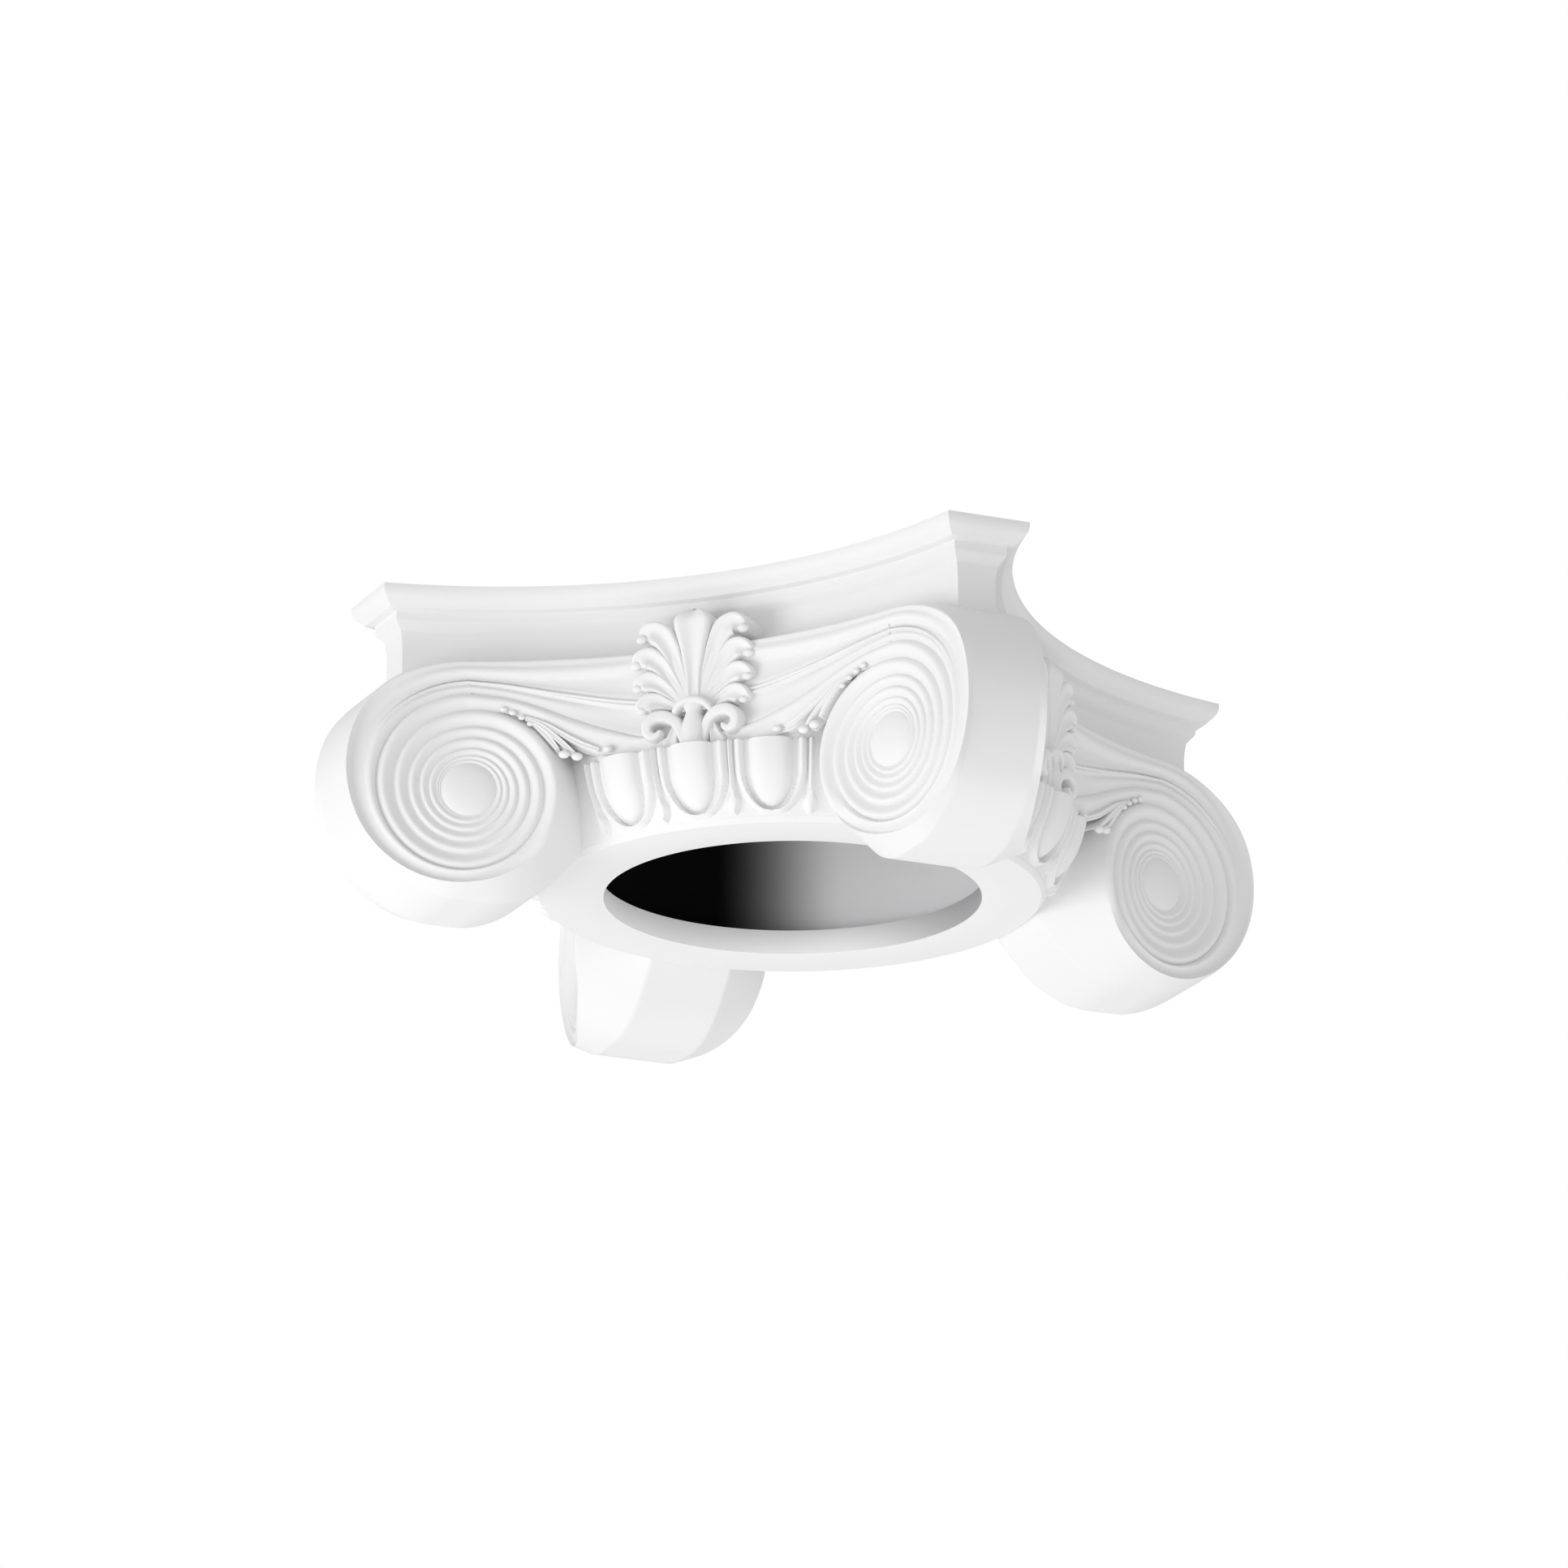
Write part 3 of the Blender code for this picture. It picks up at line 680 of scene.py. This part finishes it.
eggBand = {
    "angleSteps": 300,
    "rows": 74,
    "reachDegrees": 45,
    "top": 0.505,
    "bottom": 0.6990,
    "spread": 16.2,
    "reliefRadius": 0.800,
    "backRadius": 0.66,
    "centre": 0.588,
    "egg": (0.0600, 0.092),
    "gap": (0.0765, 0.1010),
    "shell": (0.1015, 0.1120),
    "eggProud": 0.036,
    "shellProud": 0.022,
    "dartProud": 0.022,
    "outerDart": 0.006,  # how much longer the darts beside the volutes are
    "rise": 0.10,
    "riseDegrees": (15.0, 5.0),
    "fadeTop": (0.5045, 0.004),
    "fadeBottom": (0.692, 0.006),
}
bell = {
    "behind": [(0.40, 0.792), (0.509, 0.792), (0.53, 0.788), (0.58, 0.773), (0.64, 0.744),
               (0.68, 0.722), (0.700, 0.7120), (0.7165, 0.6957)],
    "ringDepth": 0.7165,
    "lip": 0.075,
    "steps": 192,
}


# 1 on an outline with straight sides above the centre and half an oval below it
def ovalShare(x, d, size):
    down = np.maximum(d - eggBand["centre"], 0)
    return np.sqrt((x / size[0]) ** 2 + (down / size[1]) ** 2)


# height over the bell at arc length x from an egg's middle
def eggRelief(x, d):
    b = eggBand
    egg = b["eggProud"] * np.clip(1 - ovalShare(x, d, b["egg"]) ** 2.6, 0, 1) ** 0.5
    past, short = ovalShare(x, d, b["gap"]) - 1, 1 - ovalShare(x, d, b["shell"])
    across = np.clip(past, 0, None) / np.maximum(np.clip(past, 0, None) + np.clip(short, 0, None), 1e-6)
    shell = b["shellProud"] * np.sin(math.pi * np.where(short > 0, across, 0)) ** 0.55
    groove = -0.006 * np.clip(1 - np.abs(ovalShare(x, d, b["egg"]) - 1.13) / 0.14, 0, 1)
    return np.where(egg > 0, egg, np.where(shell > 0, shell, groove))


def dartRelief(x, d, longer):
    half = curveThrough([(0.40, 0.0085), (0.62, 0.0085), (0.640, 0.0095), (0.664 + longer, 0.0205),
                         (0.698 + longer, 0.001)], d)
    roof = np.clip(1 - np.abs(x) / np.maximum(half, 1e-4), 0, 1)
    return eggBand["dartProud"] * np.minimum(roof * 1.6, 1.0) ** 0.8


def makeEggBand():
    b = eggBand
    angle = np.radians(np.linspace(-b["reachDegrees"], b["reachDegrees"], b["angleSteps"] + 1))[None, :]
    t = np.linspace(0, 1, b["rows"])[:, None]
    # beyond the middle the band goes on up, behind the channel and the husks
    start, over = b["riseDegrees"]
    rise = b["rise"] * smoothStep((np.abs(np.degrees(angle)) - start) / over)
    upper = b["top"] - rise * np.linspace(1, 0.1, 8)[:, None]
    d = np.concatenate([upper, b["top"] + (b["bottom"] - b["top"]) * t + 0 * angle])
    behind = curveThrough(bell["behind"], d)
    relief = np.zeros(d.shape)
    for k in (-1, 0, 1):
        x = (angle - math.radians(k * b["spread"])) * b["reliefRadius"]
        one = eggRelief(x, d)
        relief = np.where(np.abs(one) > np.abs(relief), one, relief)
    for k in (-1.5, -0.5, 0.5, 1.5):
        x = (angle - math.radians(k * b["spread"])) * b["reliefRadius"]
        relief = np.maximum(relief, dartRelief(x, d, 0.0 if abs(k) < 1 else b["outerDart"]))
    (top, topOver), (low, lowOver) = b["fadeTop"], b["fadeBottom"]
    fade = (1 - smoothStep((d - low) / lowOver)) * smoothStep((d - top) / topOver)
    front = behind + relief * fade
    points = roundPoint(front, angle + 0 * front, d)
    flatTop = roundPoint(b["backRadius"], angle[0], d[0])
    flatLow = roundPoint(b["backRadius"], angle[0], b["bottom"])
    turnIn = points[0] * 0.97 + flatTop * 0.03
    grid = np.concatenate([flatTop[None], turnIn[None], points, flatLow[None]])
    shape = Shape()
    shape.grid(grid, closeRows=True)
    shape.cap(grid[:, 0])
    shape.cap(grid[::-1, -1])
    return shape


onEachSide("eggBand", makeEggBand(), white, sharpAngle=44)
print("egg bands made")


# a closed (radius, depth) outline, turned round the axis
def makeTurned(name, profile, material):
    angle = np.linspace(0, 2 * math.pi, bell["steps"], endpoint=False)
    rows = [roundPoint(radius, angle, depth) for radius, depth in profile]
    shape = Shape()
    shape.grid(np.stack(rows), closeRows=True, closeColumns=True)
    makePiece(name, shape, material, sharpAngle=35)


def ringProfile():
    d = np.linspace(0.53, 0.693, 18)
    lines = [(0.62, 0.53)] + [(float(curveThrough(bell["behind"], x)) - 0.010, x) for x in d]
    lines += [(0.7130, 0.6975), (0.7128, 0.7000), (0.7105, 0.7040), (0.7085, 0.7070), (0.700, 0.7150),
              (0.6985, 0.7163), (0.6957, 0.7165)]
    lines += [(0.62, 0.7165), (0.5330, 0.7165), (0.5316, 0.7160), (0.56, 0.700), (0.56, 0.66), (0.62, 0.66)]
    return lines


makeTurned("ring", ringProfile(), white)
ledge = bell["ringDepth"] - bell["lip"]
mouth = [(0.5325, 0.7163), (0.5305, 0.7160), (0.530, 0.7145), (0.5335, 0.68), (0.541, ledge + 0.002),
         (0.543, ledge), (0.58, ledge), (0.58, 0.700)]
# the lip's material has painted shade across it
makeTurned("lip", mouth, shadedLip)
shaft = [(0.630, 0.004), (0.600, 0.0005), (0.5985, 0.003), (0.5985, 0.30), (0.5985, 0.60),
         (0.590, 0.636), (0.545, 0.6400), (0.545, 0.643), (0.630, 0.643)]
# the shaft's material has painted shade across it
makeTurned("shaft", shaft, inside)
print("ring and shaft made")


# Swept leaves: a line on the face with its own widths and heights, closed at the back

leaf = {
    "tipDrop": 0.030,
    "edge": 0.024,
}


def runLength(line):
    pieces = np.linalg.norm(np.diff(line[:, :2], axis=0), axis=1)
    return np.concatenate([[0], np.cumsum(pieces)])


# smooth line through given points, evenly spaced
def along(points, count):
    knots = np.array(points, float)
    step = runLength(knots)
    t = np.linspace(0, step[-1], count)
    return np.stack([curveThrough(list(zip(step, column)), t) for column in knots.T], -1)


# points are (s, d, half width, height); a gutter of that share runs along the leaf
def sweptLeaf(shape, points, back=-0.10, gutter=0.35, count=44, across=23, roundTip=1.0):
    line = along(points, count)
    tangent = np.gradient(line[:, :2], axis=0)
    tangent /= np.linalg.norm(tangent, axis=1)[:, None]
    normal = np.stack([-tangent[:, 1], tangent[:, 0]], -1)
    length = runLength(line)
    toEnd = length[-1] - length
    tipReach = np.maximum(line[-1, 2] * roundTip, 1e-4)
    tip = np.sqrt(np.clip(1 - np.clip(1 - toEnd / tipReach, 0, 1) ** 2, 0, 1))
    width = line[:, 2] * np.maximum(tip, 0.02)
    v = np.sin(np.linspace(-math.pi / 2, math.pi / 2, across))
    section = np.clip(1 - np.abs(v) ** 6, 0, 1) ** 0.5 - gutter * np.cos(v * math.pi / 2) ** 2
    drop = leaf["tipDrop"] * (1 - tip)
    high = line[:, 3][:, None] - drop[:, None] + leaf["edge"] * (section[None, :] - 1)
    s = line[:, 0][:, None] + normal[:, 0][:, None] * width[:, None] * v[None, :]
    d = line[:, 1][:, None] + normal[:, 1][:, None] * width[:, None] * v[None, :]
    left = facePoint(s[:, 0], d[:, 0], back)
    right = facePoint(s[:, -1], d[:, -1], back)
    grid = np.concatenate([left[:, None], facePoint(s, d, high), right[:, None]], axis=1)
    shape.grid(grid, closeColumns=True)
    shape.cap(grid[0])
    shape.cap(grid[-1][::-1])


# a bead that lies on the face
def makeSeed(shape, s, d, radius, high):
    up = np.linspace(0, math.pi, 15)[:, None]
    around = np.linspace(0, 2 * math.pi, 24, endpoint=False)[None, :]
    x = s + radius * 1.25 * np.sin(up) * np.cos(around)
    y = d + radius * 0.9 * np.sin(up) * np.sin(around)
    shape.grid(facePoint(x, y, high + radius * np.cos(up) + 0 * around), closeColumns=True)


palmette = {
    "spread": 1.035,
    "fuller": 1.05,
    "sunk": 0.005,
    "tipHigh": 0.012,
    "middle": [(0, 0.395, 0.018, 0.012), (0, 0.36, 0.020, 0.022), (0, 0.30, 0.024, 0.028),
               (0, 0.22, 0.039, 0.034), (0, 0.165, 0.053, 0.040), (0, 0.13, 0.060, 0.044),
               (0, 0.102, 0.058, 0.036)],
    "lobes": [
        [(0.014, 0.385, 0.009, 0.012), (0.030, 0.33, 0.014, 0.024), (0.048, 0.27, 0.021, 0.029),
         (0.070, 0.21, 0.029, 0.034), (0.098, 0.172, 0.034, 0.040), (0.126, 0.165, 0.030, 0.038),
         (0.146, 0.185, 0.018, 0.022)],
        [(0.020, 0.390, 0.008, 0.012), (0.040, 0.345, 0.013, 0.024), (0.070, 0.295, 0.021, 0.029),
         (0.100, 0.255, 0.028, 0.034), (0.128, 0.238, 0.031, 0.039), (0.152, 0.246, 0.026, 0.037),
         (0.164, 0.262, 0.016, 0.020)],
        [(0.024, 0.395, 0.008, 0.010), (0.048, 0.362, 0.012, 0.022), (0.078, 0.333, 0.019, 0.028),
         (0.106, 0.312, 0.026, 0.033), (0.132, 0.306, 0.029, 0.037), (0.152, 0.315, 0.024, 0.035),
         (0.161, 0.330, 0.015, 0.018)],
        [(0.030, 0.402, 0.008, 0.008), (0.055, 0.385, 0.012, 0.020), (0.082, 0.372, 0.018, 0.026),
         (0.106, 0.365, 0.025, 0.031), (0.128, 0.368, 0.028, 0.035), (0.144, 0.380, 0.023, 0.032),
         (0.148, 0.396, 0.014, 0.016)],
    ],
    "tips": [(0.150, 0.182, 0.014), (0.166, 0.257, 0.013), (0.163, 0.323, 0.012), (0.150, 0.389, 0.011)],
    "shield": [(0, 0.400, 0.055, 0.010), (0, 0.350, 0.110, 0.012), (0, 0.290, 0.130, 0.014),
               (0, 0.230, 0.132, 0.014), (0, 0.180, 0.120, 0.012), (0, 0.150, 0.090, 0.006)],
    "scroll": [(0.022, 0.505, 0.014, 0.018), (0.036, 0.462, 0.016, 0.026), (0.052, 0.430, 0.017, 0.032),
               (0.080, 0.415, 0.018, 0.038), (0.112, 0.417, 0.018, 0.040),
               (0.132, 0.436, 0.017, 0.040), (0.130, 0.460, 0.015, 0.038), (0.110, 0.470, 0.012, 0.036),
               (0.096, 0.460, 0.009, 0.035), (0.097, 0.449, 0.007, 0.034)],
    "tail": [(0.052, 0.440, 0.010, 0.020), (0.062, 0.470, 0.016, 0.022), (0.070, 0.495, 0.024, 0.020),
             (0.076, 0.515, 0.030, 0.016)],
    "stem": [(0, 0.515, 0.040, 0.036), (0, 0.490, 0.031, 0.036), (0, 0.460, 0.034, 0.036),
             (0, 0.430, 0.029, 0.033), (0, 0.408, 0.022, 0.030), (0, 0.385, 0.032, 0.030),
             (0, 0.370, 0.028, 0.022)],
    "arch": [(-0.058, 0.424, 0.009, 0.018), (-0.051, 0.401, 0.010, 0.032),
             (-0.032, 0.383, 0.011, 0.040), (0, 0.376, 0.011, 0.042), (0.032, 0.383, 0.011, 0.040),
             (0.051, 0.401, 0.010, 0.032), (0.058, 0.424, 0.009, 0.018)],
}


def makePalmette():
    shape = Shape()
    half = Shape()
    for points in palmette["lobes"]:
        spread, fuller, sunk = palmette["spread"], palmette["fuller"], palmette["sunk"]
        line = [(s * spread, d, w * fuller, high - sunk) for s, d, w, high in points]
        sweptLeaf(half, line, gutter=0.50)
    for s, d, radius in palmette["tips"]:
        makeSeed(half, s, d, radius, palmette["tipHigh"])
    sweptLeaf(half, palmette["scroll"], gutter=-0.05)
    sweptLeaf(half, palmette["tail"], gutter=0.4)
    shape.join(half).join(half.mirrored())
    sweptLeaf(shape, palmette["shield"], back=-0.05, gutter=-0.1, roundTip=0.4)
    sweptLeaf(shape, palmette["middle"], gutter=0.50)
    sweptLeaf(shape, palmette["stem"], gutter=-0.25, roundTip=0.1)
    sweptLeaf(shape, palmette["arch"], gutter=-0.1, roundTip=0.3)
    return shape


onEachSide("palmette", makePalmette(), white, sharpAngle=50)
print("palmettes made")


# Husks in the corners between channel and volute

husk = {
    "leaves": [
        [(0.470, 0.392, 0.004, 0.006), (0.440, 0.420, 0.007, 0.012), (0.412, 0.450, 0.008, 0.012),
         (0.388, 0.482, 0.006, 0.010)],
        [(0.480, 0.388, 0.004, 0.006), (0.440, 0.410, 0.007, 0.013), (0.398, 0.444, 0.009, 0.014),
         (0.360, 0.478, 0.007, 0.012), (0.340, 0.496, 0.005, 0.006)],
        [(0.480, 0.384, 0.004, 0.006), (0.425, 0.408, 0.007, 0.012), (0.370, 0.442, 0.009, 0.012),
         (0.315, 0.472, 0.009, 0.012), (0.270, 0.488, 0.006, 0.006)],
    ],
    "seedHigh": 0.004,
    "seeds": [(0.372, 0.496, 0.0125), (0.336, 0.504, 0.0125), (0.250, 0.487, 0.0110)],
    "knotHigh": 0.002,
    "knots": [(0.540, 0.362, 0.0085), (0.515, 0.372, 0.0085), (0.490, 0.386, 0.0080),
              (0.466, 0.404, 0.0080)],
}


def makeHusk():
    half = Shape()
    for points in husk["leaves"]:
        sweptLeaf(half, points, back=-0.05, gutter=0.15, count=36, across=15)
    for s, d, radius in husk["seeds"]:
        makeSeed(half, s, d, radius, husk["seedHigh"])
    for s, d, radius in husk["knots"]:
        makeSeed(half, s, d, radius, husk["knotHigh"])
    return Shape().join(half).join(half.mirrored())


onEachSide("husk", makeHusk(), white, sharpAngle=50)
print("husks made")


# Floor, light and camera

stage = {
    "floorSize": 30.0,
    "floorColour": (0.80, 0.80, 0.80, 1),
    "azimuth": 20.462,
    "elevation": -18.893,
    "roll": -0.145,
    "distance": 27.0,  # half widths from the middle of the top face
    "focalPixels": 11764.0,
    "imageSide": 1932,
    "topAt": (975.8, 809.5),
}


# pale floor at the feet; from below it isn't there, as the photograph looks up at the piece
def makeFloor():
    deselectAll()
    bpy.ops.mesh.primitive_plane_add(size=stage["floorSize"], location=(0, 0, 0))
    floor = bpy.context.object
    floor.name = "floor"
    finish = Finish("paleFloor")
    finish.feed("Base Color", stage["floorColour"])
    finish.feed("Roughness", 0.9)
    side = finish.node("ShaderNodeNewGeometry", output="Backfacing")
    clear = finish.tree.nodes.new("ShaderNodeBsdfTransparent")
    mix = finish.tree.nodes.new("ShaderNodeMixShader")
    links = finish.tree.links
    links.new(side.link, mix.inputs[0])
    links.new(finish.shader.outputs[0], mix.inputs[1])
    links.new(clear.outputs[0], mix.inputs[2])
    links.new(mix.outputs[0], finish.tree.nodes["Material Output"].inputs[0])
    floor.data.materials.append(finish.material)
    floor.visible_diffuse = floor.visible_glossy = floor.visible_transmission = floor.visible_shadow = False


# the lens, place and turn that fit the photograph's outline
def makeCamera():
    az, el, roll = (math.radians(stage[k]) for k in ("azimuth", "elevation", "roll"))
    size, top = stage["imageSide"], stage["topAt"]
    outward = Vector((math.sin(az) * math.cos(el), -math.cos(az) * math.cos(el), math.sin(el)))
    place = outward * stage["distance"]
    forward = (-place).normalized()
    right = forward.cross(Vector((0, 0, 1))).normalized()
    up = right.cross(forward)
    a = math.atan2(top[0] - size / 2, stage["focalPixels"])
    b = math.atan2(size / 2 - top[1], stage["focalPixels"])
    turned = forward * math.cos(a) - right * math.sin(a)
    right = right * math.cos(a) + forward * math.sin(a)
    ahead = turned * math.cos(b) - up * math.sin(b)
    up = up * math.cos(b) + turned * math.sin(b)
    x, y = right * math.cos(roll) + up * math.sin(roll), up * math.cos(roll) - right * math.sin(roll)
    data = bpy.data.cameras.new("camera")
    camera = bpy.data.objects.new("camera", data)
    bpy.context.scene.collection.objects.link(camera)
    data.sensor_width = 36.0
    data.lens = stage["focalPixels"] / size * data.sensor_width
    data.clip_end = 100.0
    turn = Matrix((x, y, -ahead)).transposed().to_4x4()
    camera.matrix_world = Matrix.Translation(place * capital["halfWidth"] + Vector((0, 0, topLevel))) @ turn
    bpy.context.scene.camera = camera


lights = {
    "key": {"at": (-1.6, -2.2, -0.9), "size": 1.6, "power": 30.0},
    "under": {"at": (0.4, -0.6, -2.2), "size": 2.4, "power": 10.0},
    "top": {"at": (-1.2, -1.0, 2.4), "size": 2.0, "power": 5.0},
}


def makeLight(name, at, size, power):
    data = bpy.data.lights.new(name, "AREA")
    data.size, data.energy = size, power
    light = bpy.data.objects.new(name, data)
    bpy.context.scene.collection.objects.link(light)
    light.location = at
    light.rotation_euler = (Vector((0, 0, topLevel / 2)) - Vector(at)).to_track_quat("-Z", "Y").to_euler()


sky = {
    "below": 0.84,
    "above": 0.56,
}


def makeWorld():
    world = bpy.data.worlds.new("studio")
    bpy.context.scene.world = world
    world.use_nodes = True
    tree = world.node_tree
    back = tree.nodes["Background"]
    back.inputs["Color"].default_value = (1, 1, 1, 1)
    place = tree.nodes.new("ShaderNodeTexCoord")
    axes = tree.nodes.new("ShaderNodeSeparateXYZ")
    fade = tree.nodes.new("ShaderNodeMapRange")
    tree.links.new(place.outputs["Generated"], axes.inputs[0])
    tree.links.new(axes.outputs["Z"], fade.inputs["Value"])
    fade.inputs["From Min"].default_value = -1.0
    fade.inputs["To Min"].default_value = sky["below"]
    fade.inputs["To Max"].default_value = sky["above"]
    tree.links.new(fade.outputs[0], back.inputs["Strength"])
    seen = tree.nodes.new("ShaderNodeBackground")
    seen.inputs["Color"].default_value = (1, 1, 1, 1)
    path = tree.nodes.new("ShaderNodeLightPath")
    mix = tree.nodes.new("ShaderNodeMixShader")
    tree.links.new(path.outputs["Is Camera Ray"], mix.inputs[0])
    tree.links.new(back.outputs[0], mix.inputs[1])
    tree.links.new(seen.outputs[0], mix.inputs[2])
    tree.links.new(mix.outputs[0], tree.nodes["World Output"].inputs[0])


makeFloor()
makeCamera()
for name, light in lights.items():
    makeLight(name, **light)
makeWorld()
bpy.context.scene.view_settings.view_transform = "Standard"
print("stage made")
